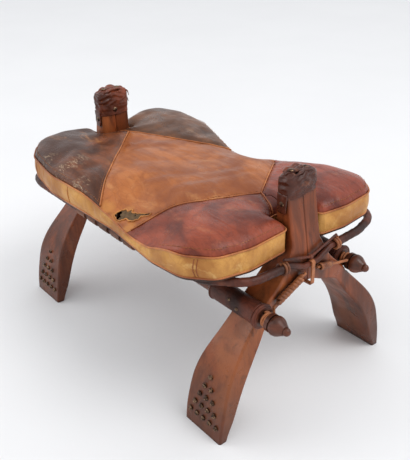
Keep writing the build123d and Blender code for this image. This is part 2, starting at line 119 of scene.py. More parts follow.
class Shader:
    """A material, new or made before, whose nodes are added and linked by short calls."""

    def __init__(self, name, material=None):
        self.material = material or bpy.data.materials.new(name)
        self.material.use_nodes = True
        self.tree = self.material.node_tree
        self.surface = self.tree.nodes["Principled BSDF"]
        places = self.tree.nodes.get("Texture Coordinate") or self.tree.nodes.new("ShaderNodeTexCoord")
        self.where = places.outputs["Object"]

    def link(self, value, socket):
        if isinstance(value, bpy.types.NodeSocket):
            self.tree.links.new(value, socket)
        else:
            socket.default_value = value

    def node(self, kind, inputs=None, **settings):
        made = self.tree.nodes.new("ShaderNode" + kind)
        for key, value in settings.items():
            setattr(made, key, value)
        for key, value in (inputs or {}).items():
            self.link(value, made.inputs[key])
        return made

    def stretched(self, scale, turn=(0, 0, 0)):
        return self.node("Mapping", {"Vector": self.where, "Scale": scale, "Rotation": turn}).outputs[0]

    def noise(self, scale, detail=4, vector=None, rough=0.55, distortion=0.0):
        settings = {"Vector": vector or self.where, "Scale": scale, "Detail": detail}
        settings.update({"Roughness": rough, "Distortion": distortion})
        return self.node("TexNoise", settings).outputs["Fac"]

    def cells(self, scale, vector=None, feature="DISTANCE_TO_EDGE"):
        made = self.node("TexVoronoi", {"Vector": vector or self.where, "Scale": scale}, feature=feature)
        return made.outputs["Distance"]

    def steps(self, value, low, high, to_low=0.0, to_high=1.0):
        settings = {"Value": value, "From Min": low, "From Max": high, "To Min": to_low, "To Max": to_high}
        return self.node("MapRange", settings, interpolation_type="SMOOTHSTEP").outputs[0]

    def mix(self, share, first, second, blend="MIX"):
        made = self.node("Mix", data_type="RGBA", blend_type=blend)
        self.link(share, made.inputs["Factor"])
        self.link(first, made.inputs["A"])
        self.link(second, made.inputs["B"])
        return made.outputs["Result"]

    def laid(self, colour, under, value, low, high, share):
        """A colour laid over another where a value rises from low to high."""
        return self.mix(self.steps(value, low, high, 0.0, share), under, colour)

    def maths(self, operation, first, second):
        made = self.node("Math", operation=operation)
        self.link(first, made.inputs[0])
        self.link(second, made.inputs[1])
        return made.outputs[0]

    def bump(self, height, depth, under=None):
        inputs = {"Height": height, "Distance": depth, "Strength": 1.0}
        if under:
            inputs["Normal"] = under
        return self.node("Bump", inputs).outputs[0]

    def finish(self, colour, rough, normal, **settings):
        self.link(colour, self.surface.inputs["Base Color"])
        self.link(rough, self.surface.inputs["Roughness"])
        self.link(normal, self.surface.inputs["Normal"])
        for key, value in settings.items():
            self.surface.inputs[key.replace("_", " ")].default_value = value
        return self.material


def leather(name, base, dark, pale, gloss, wear, streaks, turn=0.5, pores=1.0):
    """Worn leather: cloudy dye drawn out in streaks, a few pale scuffs, soft wrinkles and fine pores."""
    s = Shader(name)
    base, dark, pale = (linear(c) for c in (base, dark, pale))
    clouds = s.noise(7, 6, distortion=0.9, rough=0.6)
    drawn = s.noise(15, 7, s.stretched((0.28, 1.0, 0.6), (0, 0, turn)), 0.62, 0.7)
    spots = s.noise(42, 7, distortion=0.6, rough=0.6)
    fine = s.noise(90, 6)
    colour = s.laid(dark, base, clouds, 0.38, 0.64, 1.0)
    colour = s.laid(dark, colour, drawn, 0.46, 0.64, streaks)
    colour = s.laid(pale, colour, drawn, 0.42, 0.26, streaks)
    colour = s.laid(dark, colour, spots, 0.5, 0.68, 0.5)
    scuffs = s.noise(24, 9, s.stretched((0.5, 1.2, 1.0), (0, 0, turn + 0.5)), 0.66, 1.3)
    colour = s.laid(pale, colour, scuffs, 0.58, 0.7, wear)
    cracks = s.cells(58, s.stretched((0.6, 1.5, 1.0), (0, 0, turn)))
    colour = s.laid(dark, colour, cracks, 0.05, 0.0, 0.3)
    wrinkles = s.noise(26, 5, s.stretched((0.45, 1.4, 1.0), (0, 0, turn)), 0.55, 1.1)
    normal = s.bump(wrinkles, 0.0022)
    normal = s.bump(spots, 0.0005, normal)
    normal = s.bump(fine, 0.0003, normal)
    normal = s.bump(s.cells(820, feature="F1"), 0.00016 * pores, normal)
    rough = s.steps(s.noise(20, 6), 0.3, 0.7, gloss - 0.1, gloss + 0.16)
    return s.finish(colour, rough, normal, Specular_IOR_Level=0.3)


def stained(material, places, colour, reach, share, grain=0.0):
    """A worn or faded colour laid over a material around some places, whole or in fine scrapes."""
    s = Shader(material.name, material)
    under = s.surface.inputs["Base Color"].links[0].from_socket
    ragged = s.noise(44, 7, distortion=0.8)
    for place in places:
        away = s.node("VectorMath", {0: s.where, 1: [c * MM for c in place]}, operation="DISTANCE")
        spread = s.maths("MULTIPLY", ragged, 0.9 * reach)
        near = s.maths("ADD", away.outputs["Value"], spread)
        cover = s.steps(near, 0.75 * reach, 1.35 * reach, share, 0.0)
        if grain:
            scraped = s.noise(grain, 8, s.stretched((0.5, 1.6, 1.0), (0, 0, 0.9)), 0.7, 1.5)
            cover = s.maths("MULTIPLY", cover, s.steps(scraped, 0.52, 0.62))
        under = s.mix(cover, under, linear(colour))
    s.link(under, s.surface.inputs["Base Color"])


def wood(name, base, dark, pale, along, gloss=0.34, foot=0.0):
    """Old waxed wood with its grain along one axis, long dark streaks, rubbed places, dark feet, and painted
    shade in its corners and creases.
    """
    s = Shader(name)

    def drawn_out(share, turn=(0, 0, 0)):
        return s.stretched(tuple(share if axis == along else 1.0 for axis in "XYZ"), turn)

    def darker(share):
        return linear(tuple(c * share for c in dark))

    grain_space = drawn_out(0.07, (0.03, 0.05, 0.02))
    bands = s.noise(34, 7, grain_space, 0.62, 0.6)
    pores = s.noise(360, 3, grain_space, 0.7)
    patches = s.noise(9, 5, drawn_out(0.35), 0.6, 0.6)
    grime = s.noise(26, 7, drawn_out(0.5), 0.66, 0.9)
    colour = s.laid(darker(1.0), linear(base), bands, 0.38, 0.66, 0.85)
    colour = s.laid(linear(pale), colour, patches, 0.46, 0.66, 0.75)
    colour = s.laid(darker(1.0), colour, patches, 0.48, 0.34, 0.7)
    colour = s.laid(darker(0.6), colour, grime, 0.54, 0.68, 0.6)
    colour = s.laid(darker(1.0), colour, pores, 0.58, 0.72, 0.45)
    if foot:
        height = s.node("SeparateXYZ", {"Vector": s.where}).outputs["Z"]
        low = s.maths("ADD", height, s.maths("MULTIPLY", grime, 0.12))
        colour = s.mix(s.steps(low, 0.06, 0.3, foot, 0.0), colour, darker(0.85))
    # Painted shade: the mask named edges is ambient occlusion, and it darkens the wood in its corners and
    # creases and where parts meet, not along its edges.
    edges = s.node("AmbientOcclusion", {"Distance": 0.01}, samples=6).outputs["AO"]
    colour = s.mix(s.steps(edges, 0.3, 0.9, 0.8, 0.0), colour, darker(0.3))
    normal = s.bump(pores, 0.0002)
    normal = s.bump(bands, 0.0006, normal)
    normal = s.bump(s.noise(15, 3), 0.0026, normal)
    rough = s.steps(s.noise(20, 4), 0.3, 0.7, gloss - 0.08, gloss + 0.16)
    return s.finish(colour, rough, normal, Specular_IOR_Level=0.3, Coat_Weight=0.08, Coat_Roughness=0.25)


def brass(name):
    """Old brass tacks, brown in the hollows and bright where they are rubbed."""
    s = Shader(name)
    colour = s.mix(s.steps(s.noise(190, 4), 0.4, 0.62), linear((58, 42, 33)), linear((126, 100, 78)))
    normal = s.bump(s.noise(300, 3), 0.0002)
    return s.finish(colour, s.steps(s.noise(120, 3), 0.3, 0.7, 0.2, 0.42), normal, Metallic=0.85)


def plain(name, colour, rough):
    """A thread or lining with a little unevenness."""
    s = Shader(name)
    shade = linear(tuple(c * 0.7 for c in colour))
    tint = s.mix(s.steps(s.noise(150, 4), 0.35, 0.7), linear(colour), shade)
    return s.finish(tint, rough, s.bump(s.noise(500, 3), 0.0003), Specular_IOR_Level=0.25)


# Each wood or leather has its usual colour, its dark one and its pale one, from 0 to 255. Each leather then
# has its gloss, wear and streaks, and some have the turn of the streaks and the depth of the pores.
WOOD = wood("old wood", (142, 70, 34), (74, 36, 20), (170, 98, 54), "Z", gloss=0.32, foot=0.75)
POLE_WOOD = wood("turned wood", (98, 50, 32), (46, 24, 17), (138, 84, 58), "X", gloss=0.28)
PEG_WOOD = wood("peg wood", (150, 104, 66), (98, 62, 38), (176, 130, 88), "Y")
DARK_LEATHER = leather("dark leather", (96, 46, 30), (44, 21, 15), (140, 82, 56), 0.46, 0.35, 0.5, 0.5, 1.3)
CAP_LEATHER = leather("cap leather", (134, 66, 42), (66, 31, 20), (176, 112, 80), 0.22, 0.35, 0.3, 0.2, 0.45)
THONG = leather("tan thong", (166, 102, 64), (84, 44, 27), (204, 152, 108), 0.42, 0.4, 0.4)
STRAP = leather("strap leather", (120, 72, 46), (66, 40, 28), (150, 104, 72), 0.5, 0.4, 0.4)
WELT = leather("welt leather", (192, 122, 70), (136, 74, 40), (216, 162, 108), 0.42, 0.4, 0.4)
RAGGED = leather("torn edge", (196, 132, 70), (128, 74, 38), (226, 178, 116), 0.5, 0.5, 0.4)
BAND = leather("band leather", (204, 150, 78), (160, 104, 48), (224, 182, 116), 0.46, 0.45, 0.35, 0.1)
# The cushion's underside in dark leather: partly its own colour, partly painted shade under the band.
DARK_BASE_WITH_PAINTED_SHADE = leather("base leather", (84, 48, 33), (48, 28, 21), (110, 72, 50), 0.5, 0.3, 0.4)
PANEL_LOOKS = {
    "middle": ((170, 100, 50), (126, 66, 32), (196, 140, 88), 0.36, 0.35, 0.75, 0.5),
    "near_left": ((146, 68, 44), (88, 36, 25), (180, 112, 76), 0.29, 0.3, 0.5, 0.3),
    "far_left": ((122, 66, 34), (62, 32, 18), (164, 110, 64), 0.34, 0.5, 0.6, 0.3),
    "far_right": ((112, 70, 42), (66, 40, 26), (146, 106, 68), 0.34, 0.35, 0.7, 0.4),
    "near_right": ((146, 66, 44), (86, 36, 26), (178, 110, 76), 0.29, 0.3, 0.5, 0.3),
}
PANEL = {name: leather(f"{name} leather".replace("_", " "), *looks) for name, looks in PANEL_LOOKS.items()}
TACK = brass("tack brass")
THREAD = plain("thread", (168, 104, 60), 0.7)
LINING = plain("lining", (104, 82, 58), 0.9)
NODE_MATERIALS = (      # the ends of the nodes' names, each with its material
    ("_tacks", TACK), ("_leg", WOOD), ("_pole", POLE_WOOD), ("_pegs", PEG_WOOD),
    (("_straps", "long_strap"), STRAP), (("_wrap", "_core", "apex_strap", "hoop_loop"), THONG),
    ("", DARK_LEATHER),
)
stained(PANEL["middle"], WORN_PLACES, (190, 128, 62), reach=0.02, share=0.6)
stained(PANEL["far_left"], SCUFFED_PLACES, (196, 170, 138), reach=0.034, share=0.6, grain=90)
stained(BAND, SOILED_PLACES, (150, 96, 54), reach=0.035, share=0.6)

for node, thing in nodes.items():
    material = next(found for ending, found in NODE_MATERIALS if node.endswith(ending))
    thing.data.materials.clear()
    thing.data.materials.append(material)
    thing.data.polygons.foreach_set("use_smooth", [True] * len(thing.data.polygons))


# Making pieces

def mm(x, y, z):
    """A place whose measures are in millimetres."""
    return Vector((x, y, z)) * MM


def uneven(x, y, z):
    """Smooth random unevenness, from -1 to 1, the same at each run."""
    return noise.noise(Vector((x, y, z)))


def joined(name, meshes):
    """Several meshes as one."""
    work = bmesh.new()
    for mesh in meshes:
        work.from_mesh(mesh)
        bpy.data.meshes.remove(mesh)
    mesh = bpy.data.meshes.new(name)
    work.to_mesh(mesh)
    work.free()
    return mesh


def piece(name, meshes, material, body, smooth=True):
    """A finished piece, of one mesh or several, on its body."""
    mesh = joined(name, meshes) if isinstance(meshes, list) else meshes
    mesh.materials.clear()
    mesh.materials.append(material)
    if smooth:
        mesh.polygons.foreach_set("use_smooth", [True] * len(mesh.polygons))
    made = placed(name, mesh)
    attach(made, body)
    return made


def faced_out(mesh):
    """Turns every face of a mesh outwards."""
    work = bmesh.new()
    work.from_mesh(mesh)
    bmesh.ops.recalc_face_normals(work, faces=work.faces)
    work.to_mesh(mesh)
    work.free()


def rows_mesh(name, rows, capped=True):
    """A mesh through rows of points, each row a closed ring, usually with its ends closed."""
    points = [p for row in rows for p in row]
    count = len(rows[0])
    faces = []
    for r in range(len(rows) - 1):
        for c in range(count):
            d = (c + 1) % count
            faces.append((r * count + c, r * count + d, (r + 1) * count + d, (r + 1) * count + c))
    if capped:
        faces.append(tuple(reversed(range(count))))
        faces.append(tuple(range((len(rows) - 1) * count, len(rows) * count)))
    mesh = bpy.data.meshes.new(name)
    mesh.from_pydata([tuple(p) for p in points], [], faces)
    mesh.validate()
    faced_out(mesh)
    return mesh


def frames_along(path, closed=False):
    """Each point of a path, and two directions across the path there."""
    count = len(path)
    frames = []
    side = None
    for i, place in enumerate(path):
        before = path[i - 1] if i or closed else path[0]
        after = path[(i + 1) % count] if i + 1 < count or closed else path[-1]
        ahead = (after - before).normalized()
        if side is None:
            start = Vector((0, 0, 1)) if abs(ahead.z) < 0.8 else Vector((1, 0, 0))
            side = ahead.cross(start).normalized()
        side = (side - ahead * side.dot(ahead)).normalized()
        frames.append((place, side, ahead.cross(side)))
    return frames


def tube_mesh(name, path, radius, around, closed=False, flat=1.0):
    """A tube along a path. The radius may be a function of the share of the path and the angle."""
    rows = []
    steps = frames_along(path, closed)
    for i, (place, side, up) in enumerate(steps):
        row = []
        for k in range(around):
            angle = tau * k / around
            size = radius(i / (len(steps) - 1), angle) if callable(radius) else radius
            row.append(place + side * cos(angle) * size + up * sin(angle) * size * flat)
        rows.append(row)
    if closed:
        rows.append(rows[0])
    return rows_mesh(name, rows, capped=not closed)


# Cushion: its sizes in millimetres

REACH, LEFT, RIGHT = 291.0, 218.0, 187.0        # half its length, and how far it reaches to each side
BASE_HEIGHT, BAND_LOW, SEAM, CROWN = 286.4, 294.0, 331.0, 356.0
SLOT, NOTCH = 38.0, 240.0                       # half a notch's width, and how far out its inner end lies
NOTCH_MARGIN = 8.0
DIP_PLACE, DIP_RADIUS, DIP_LOW, DIP_SLOPE = 90.0, 330.0, 307.0, radians(27)
RIM_WIDTH, RIM_POWER, FADE_WIDTH = 62.0, 2.5, 25.0     # how the top rounds off towards its edge
TOP_RISE = CROWN - SEAM - 0.5
SINK_DEPTH, SINK_WIDTH, DRAW_DEPTH, DRAW_WIDTH = 3.6, 8.0, 2.5, 30.0    # how deep and wide a seam draws in
FOLD_WIDTH = 6.5
SEAT_DEPTH, SEAT_PLACE, SEAT_REACH_X, SEAT_REACH_Y = 6.0, 20.0, 120.0, 80.0
# Each corner of the outline, in shares of the length and of the width, and the share of its rounding
CORNER_SHARES = (
    (0.99, "slot-", 0.035), (1.01, -0.55, 0.14), (0.965, -0.82, 0.12), (0.82, -0.98, 0.17),
    (0.58, -1.01, 0.2), (0.15, -0.955, 0.6), (-0.52, -0.985, 0.5), (-0.86, -0.905, 0.27),
    (-1.04, -0.75, 0.17), (-1.075, -0.48, 0.17), (-1.0, "slot-", 0.035), ("notch-", "slot-", 0.04),
    ("notch-", "slot+", 0.04), (-0.985, "slot+", 0.035), (-1.075, 0.52, 0.15), (-1.03, 0.775, 0.17),
    (-0.81, 0.92, 0.2), (-0.52, 0.88, 0.2), (0.12, 0.49, 0.3), (0.62, 0.97, 0.15),
    (0.87, 1.03, 0.17), (0.99, 0.87, 0.12), (1.015, 0.5, 0.2), (0.99, "slot+", 0.035),
    ("notch+", "slot+", 0.04), ("notch+", "slot-", 0.04),
)
FAR_CORNER, NEAR_CORNER = Vector((-203, -4)), Vector((191, -3))
SEAM_LINES = [(corner, Vector(stop)) for corner, stop in (
    (FAR_CORNER, (14, -213)), (NEAR_CORNER, (98, -206)), (FAR_CORNER, (2, 98)),
    (NEAR_CORNER, (114, 104)), (NEAR_CORNER, (246, -25)), (FAR_CORNER, (-242, -6)),
)]
DIAMOND_MIDDLE = 60
MIDDLE_LINE = -3        # where the left lobes meet the right ones, between the notches
DIAMOND = [         # the middle panel, whose left and right points lie beyond the outline
    FAR_CORNER, SEAM_LINES[0][1], Vector((DIAMOND_MIDDLE, -260)), SEAM_LINES[1][1],
    NEAR_CORNER, SEAM_LINES[3][1], Vector((58, 160)), SEAM_LINES[2][1],
]
FOLD_LINES = [(Vector(start), Vector(stop), depth) for start, stop, depth in (
    ((66, -150), (128, 30), 2.2), ((18, -140), (96, 20), 1.8), ((-40, -90), (50, 40), 1.6),
    ((-110, -60), (-20, 40), 1.3),
)]
TEAR_MIDDLE = Vector((66, -192))
TEAR = [Vector(p) for p in (
    (43, -202), (42, -194), (50, -181), (58, -183), (64, -178), (70, -184), (84, -176), (109, -163),
    (101, -173), (90, -179), (91, -187), (80, -197), (71, -196), (63, -204), (52, -205),
)]
OUTLINE_STEP = 5.0
GRID_STEP = 8.0
LEATHER_THICKNESS = 2.2
LEAST_GAP = 0.001
RAY_START = 500.0       # a height over the cushion


def arcs_through(corners, step, closed=True):
    """The points of a line whose corners, each given with its radius, are rounded."""
    line = []
    for i, (corner, radius) in enumerate(corners):
        if not closed and i in (0, len(corners) - 1):
            line.append(corner)
            continue
        back = (corners[i - 1][0] - corner).normalized()
        on = (corners[(i + 1) % len(corners)][0] - corner).normalized()
        half = back.angle(on) / 2
        reach = radius / tan(half)
        centre = corner + (back + on).normalized() * radius / sin(half)
        start, stop = corner + back * reach - centre, corner + on * reach - centre
        turn = start.angle_signed(stop)
        steps = max(2, round(abs(turn) * radius / step))
        for k in range(steps + 1):
            angle = turn * k / steps
            c, s = cos(-angle), sin(-angle)
            line.append(centre + Vector((c * start.x - s * start.y, s * start.x + c * start.y)))
    even = []
    for i, point in enumerate(line):
        if i + 1 == len(line) and not closed:
            even.append(point)
            continue
        following = line[(i + 1) % len(line)]
        gap = (following - point).length
        if gap < LEAST_GAP:
            continue
        for k in range(max(1, round(gap / step))):
            even.append(point.lerp(following, k / max(1, round(gap / step))))
    return even


def cushion_outline():
    """The cushion's outline, seen from above, as points a few millimetres apart."""
    special = {"slot-": -SLOT, "slot+": SLOT, "notch-": -NOTCH, "notch+": NOTCH}
    corners = []
    for x, y, share in CORNER_SHARES:
        px = special[x] if x in special else x * REACH
        py = special[y] if y in special else y * (LEFT if y < 0 else RIGHT)
        corners.append((Vector((px, py)), share * REACH))
    return arcs_through(corners, OUTLINE_STEP)


def to_line(point, start, stop):
    """The distance from a point to a straight run."""
    run = stop - start
    share = max(0, min(1, (point - start).dot(run) / run.dot(run)))
    return (point - start - run * share).length


def inside(point, loop):
    """Whether a point lies in a loop."""
    odd = False
    for i, a in enumerate(loop):
        b = loop[i - 1]
        if (a.y > point.y) != (b.y > point.y):
            if point.x < (b.x - a.x) * (point.y - a.y) / (b.y - a.y) + a.x:
                odd = not odd
    return odd


OUTLINE = cushion_outline()
OUTLINE_TREE = KDTree(len(OUTLINE))
for number, place in enumerate(OUTLINE):
    OUTLINE_TREE.insert((place.x, place.y, 0), number)
OUTLINE_TREE.balance()


def outline_distance(point):
    """How far a place is from the cushion's outline."""
    i = OUTLINE_TREE.find((point.x, point.y, 0))[1]
    around = (OUTLINE[i - 1], OUTLINE[i], OUTLINE[(i + 1) % len(OUTLINE)])
    return min(to_line(point, around[0], around[1]), to_line(point, around[1], around[2]))


def lump(point, scale, seed):
    """Smooth random unevenness, from -1 to 1."""
    return uneven(point.x / scale, point.y / scale, seed)


def dip_height(point):
    """The worn trough that falls towards the left edge."""
    aside = min(abs(point.x - DIP_PLACE), DIP_RADIUS)
    rise = DIP_RADIUS - sqrt(DIP_RADIUS ** 2 - aside ** 2)
    return DIP_LOW + (point.y + LEFT) * tan(DIP_SLOPE) + rise / cos(DIP_SLOPE)


def lower_of(first, second, blend=14.0):
    """The lower of two heights, with the corner between them rounded."""
    near = max(blend - abs(first - second), 0) / blend
    return min(first, second) - near * near * blend / 4


def edge_height(point):
    """How high the seam between the top and the band lies at a place of the outline."""
    return lower_of(SEAM, dip_height(point))


def top_height(point):
    """How high the cushion's top is at a place."""
    edge = outline_distance(point)
    rise = min(1, edge / RIM_WIDTH)
    dome = sqrt(max(0, 1 - (1 - rise) ** RIM_POWER))
    seam = min(to_line(point, a, b) for a, b in SEAM_LINES)
    fade = min(1, edge / FADE_WIDTH)
    valley = SINK_DEPTH * exp(-(seam / SINK_WIDTH) ** 2) + DRAW_DEPTH * exp(-seam / DRAW_WIDTH)
    for start, stop, depth in FOLD_LINES:
        valley += depth * exp(-(to_line(point, start, stop) / FOLD_WIDTH) ** 2)
    along, across = (point.x - SEAT_PLACE) / SEAT_REACH_X, point.y / SEAT_REACH_Y
    seat = SEAT_DEPTH * exp(-(along ** 2 + across ** 2))
    bumps = 1.8 * lump(point, 70, 2.5) + 0.8 * lump(point, 30, 8.1)
    height = SEAM + TOP_RISE * dome
    return lower_of(height + fade * (bumps - valley - seat), dip_height(point) + fade * bumps)


def panel_of(point):
    """The panel that a place of the top belongs to."""
    if inside(point, DIAMOND):
        return "middle"
    end = "near" if point.x > DIAMOND_MIDDLE else "far"
    side = "left" if point.y < (MIDDLE_LINE if abs(point.x) < NOTCH else 0) else "right"
    return f"{end}_{side}"


def in_notch(point):
    """Whether a place lies in the notch round a post, or at its edge."""
    return abs(point.y) < SLOT + NOTCH_MARGIN and abs(point.x) > NOTCH - NOTCH_MARGIN


def out_of(loop, i):
    """The direction out of a loop of points at one of them."""
    along = (loop[(i + 1) % len(loop)] - loop[i - 1]).normalized()
    out = Vector((along.y, -along.x))
    return out if not inside(loop[i] + out * 2, OUTLINE) else -out


BAND_LEVELS = (     # the share of the way down the band, and how far it stands out, in millimetres
    (0.1, 0.5), (0.24, 1.4), (0.42, 2.0), (0.6, 2.0), (0.78, 1.4), (0.92, 0.4), (1.0, -0.8),
)
BASE_LEVELS = ((0.35, -0.4), (0.75, -2.0), (1.0, -7.0))      # the same for the rounded edge under the band


def flat_net():
    """The cushion's outline filled with a flat net of small faces, also cut along the seams."""
    net = bmesh.new()
    net.faces.new([net.verts.new((p.x, p.y, 0)) for p in OUTLINE])
    reach = int(1.1 * REACH / GRID_STEP)
    cuts = [((x * GRID_STEP, 0, 0), (1, 0, 0)) for x in range(-reach, reach)]
    cuts += [((0, y * GRID_STEP, 0), (0, 1, 0)) for y in range(-reach, reach)]
    for a, b in SEAM_LINES:
        cuts.append(((a.x, a.y, 0), (b.y - a.y, a.x - b.x, 0)))
    for place, across in cuts:
        everything = net.verts[:] + net.edges[:] + net.faces[:]
        bmesh.ops.bisect_plane(net, geom=everything, dist=1e-4, plane_co=place, plane_no=across)
    bmesh.ops.remove_doubles(net, verts=net.verts, dist=0.6)
    bmesh.ops.triangulate(net, faces=[f for f in net.faces if len(f.verts) > 4])
    net.verts.index_update()
    return net


def rim_of(net):
    """The points round the edge of a net, in order."""
    edge = next(e for e in net.edges if len(e.link_faces) == 1)
    loop = [edge.verts[0]]
    while True:
        following = edge.other_vert(loop[-1])
        if following is loop[0]:
            return loop
        loop.append(following)
        edge = next(e for e in following.link_edges if len(e.link_faces) == 1 and e is not edge)


def cushion_blank():
    """The cushion before it swells, as one closed mesh, and the name of the sheet each face belongs to."""
    net = flat_net()
    loop = rim_of(net)
    points = [Vector((v.co.x, v.co.y, top_height(v.co.xy))) for v in net.verts]
    faces = [[v.index for v in f.verts] for f in net.faces]
    owners = [panel_of(f.calc_center_median().xy) for f in net.faces]
    ring = [v.co.xy.copy() for v in loop]
    last = [v.index for v in loop]
    net.free()
    for index, p in zip(last, ring):
        points[index].z = edge_height(p)
    levels = [("band", share, push) for share, push in BAND_LEVELS]
    levels += [("base", share, push) for share, push in BASE_LEVELS]
    for owner, share, push in levels:
        new = []
        for i, p in enumerate(ring):
            high, low = (edge_height(p), BAND_LOW) if owner == "band" else (BAND_LOW, BASE_HEIGHT)
            q = p + out_of(ring, i) * (min(push, 0) if in_notch(p) else push)
            new.append(len(points))
            points.append(Vector((q.x, q.y, high + (low - high) * share)))
        for i in range(len(ring)):
            j = (i + 1) % len(ring)
            faces.append([last[i], last[j], new[j], new[i]])
            owners.append(owner)
        last = new
    faces.append(list(reversed(last)))
    owners.append("base")
    mesh = bpy.data.meshes.new("cushion_blank")
    mesh.from_pydata([tuple(p * MM) for p in points], [], faces)
    faced_out(mesh)
    return mesh, owners


SEAM_HOLD, SEAM_HOLD_WIDTH, RIM_HOLD = 0.5, 12.0, 0.75
SWELL_FRAMES = 14
SWELL_LIMIT = 6.0       # how far a point may move, in millimetres
CLOTH_SETTINGS = {
    "quality": 4, "mass": 0.4, "tension_stiffness": 25, "compression_stiffness": 25, "shear_stiffness": 8,
    "bending_stiffness": 6.0, "use_pressure": True, "uniform_pressure_force": 3.0, "shrink_min": -0.008,
}


def held_share(point):
    """How firmly the cushion is held at a place while it swells: by its seams, its base and the posts."""
    flat = point.xy / MM
    height = point.z / MM
    seam = min(to_line(flat, a, b) for a, b in SEAM_LINES)
    if in_notch(flat) or height < BAND_LOW + 1 or seam < 1.5:
        return 1.0
    if abs(height - edge_height(flat)) < 1 and outline_distance(flat) < 1:
        return RIM_HOLD
    return max(0.0, SEAM_HOLD - seam / SEAM_HOLD_WIDTH)


def swell(mesh):
    """The cushion swollen by its filling, with the wrinkles that its slack leather forms."""
    blank = placed("cushion_swell", mesh)
    group = blank.vertex_groups.new(name="held")
    rest = [v.co.copy() for v in mesh.vertices]
    for i, place in enumerate(rest):
        group.add([i], held_share(place), "REPLACE")
    cloth = blank.modifiers.new("cloth", "CLOTH")
    for key, value in CLOTH_SETTINGS.items():
        setattr(cloth.settings, key, value)
    cloth.settings.vertex_group_mass = group.name
    cloth.settings.effector_weights.gravity = 0
    cloth.point_cache.frame_start = 1
    cloth.point_cache.frame_end = SWELL_FRAMES
    for number in range(1, SWELL_FRAMES + 1):
        bpy.context.scene.frame_set(number)
    swollen = blank.evaluated_get(bpy.context.evaluated_depsgraph_get()).to_mesh()
    for vertex, place, moved in zip(mesh.vertices, rest, [v.co.copy() for v in swollen.vertices]):
        step = moved - place
        if step.length > SWELL_LIMIT * MM:
            step.length = SWELL_LIMIT * MM
        vertex.co = place + step
    bpy.context.scene.frame_set(1)
    bpy.data.objects.remove(blank)
    return mesh


def sheet_of(mesh, owners, owner):
    """One leather sheet of the cushion, cut from the whole along its seams."""
    part = bmesh.new()
    part.from_mesh(mesh)
    part.faces.ensure_lookup_table()
    bmesh.ops.delete(part, geom=[f for f in part.faces if owners[f.index] != owner], context="FACES")
    sheet = bpy.data.meshes.new(f"cushion_{owner}")
    part.to_mesh(sheet)
    part.free()
    return sheet


def smoothed(made):
    """A round of subdivision for a piece."""
    smooth = made.modifiers.new("smooth", "SUBSURF")
    smooth.levels = 1
    smooth.render_levels = 1


def soften(made):
    """Thickness and rounding for a sheet of leather."""
    thick = made.modifiers.new("thick", "SOLIDIFY")
    thick.thickness = LEATHER_THICKNESS * MM
    thick.offset = -1
    smoothed(made)


def top_point(surface, flat, above=0.0):
    """The place of the swollen top over a place seen from above, or none beside the cushion."""
    hit = surface.ray_cast(mm(flat.x, flat.y, RAY_START), DOWN)[0]
    return None if hit is None else hit + mm(0, 0, above)


def seam_points(surface, start, stop):
    """Points on the swollen top along a straight seam, while it lies on the cushion."""
    count = max(3, round((stop - start).length / SEAM_STEP))
    line = []
    for k in range(count + 1):
        p = start.lerp(stop, k / count)
        hit = top_point(surface, p, SEAM_ABOVE)
        if outline_distance(p) < 1.0 or not inside(p, OUTLINE) or hit is None:
            break
        line.append(hit)
    return line


SEAM_STEP, SEAM_ABOVE = 4.0, 0.9
EVEN_PASSES = 2
WELT_OUT, WELT_ABOVE, WELT_RADIUS, PIPING_RADIUS = 0.9, 0.6, 1.5, 1.8
STITCH_RADIUS, STITCH_SHARE, STITCH_PITCH, STITCH_ABOVE = 0.42, 0.6, 4.5, 0.2
RIM_STITCH_INSET, SEAM_STITCH_ASIDE = 5.5, 4.4
BAND_SEAM_PLACES, BAND_SEAM_START = (256, 260, -233, -91), -260
BAND_SEAM_HEIGHTS = [BAND_LOW + 3 + k * 3.8 for k in range(9)]
BAND_SEAM_OUT, BAND_SEAM_RADIUS = 0.3, 0.7
LINING_ROWS = ((1.0, 0.35), (0.8, 0.45), (0.5, 0.5), (0.2, 0.5))       # shares of the tear, and heights


def cushion_piece(name, meshes, material):
    """A piece of the cushion."""
    return piece(f"cushion_{name}", meshes, material, "cushion")


def cushion_cover():
    """The cushion's sheets, welts, stitches and lining, all from one swollen blank."""
    blank, owners = cushion_blank()
    ring_count = owners.count("band") // len(BAND_LEVELS)
    first_band = owners.index("band")
    whole = swell(blank)
    places = [v.co.copy() for v in whole.vertices]
    faces = [list(f.vertices) for f in whole.polygons]
    for owner in PANEL:
        sheet = sheet_of(whole, owners, owner)
        soften(cushion_piece(f"panel_{owner}", sheet, PANEL[owner]))
    soften(cushion_piece("band", sheet_of(whole, owners, "band"), BAND))
    # The underside's dark leather is partly painted shade under the band.
    base = cushion_piece("base", sheet_of(whole, owners, "base"), DARK_BASE_WITH_PAINTED_SHADE)
    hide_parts("cushion")
    last_row = first_band + (len(BAND_LEVELS) - 1) * ring_count
    rim = [places[faces[first_band + k][0]] for k in range(ring_count)]
    low = [places[faces[last_row + k][3]] for k in range(ring_count)]
    top = BVHTree.FromPolygons(places, faces[:first_band])
    add_welts(even_loop(rim), even_loop(low), top)
    add_stitches(top)
    band_seams(BVHTree.FromPolygons(places, faces))
    tear(top)


def even_loop(points):
    """A closed loop of points, evened out a little."""
    for _ in range(EVEN_PASSES):
        count = len(points)
        points = [(points[i - 1] + points[i] * 2 + points[(i + 1) % count]) / 4 for i in range(count)]
    return points


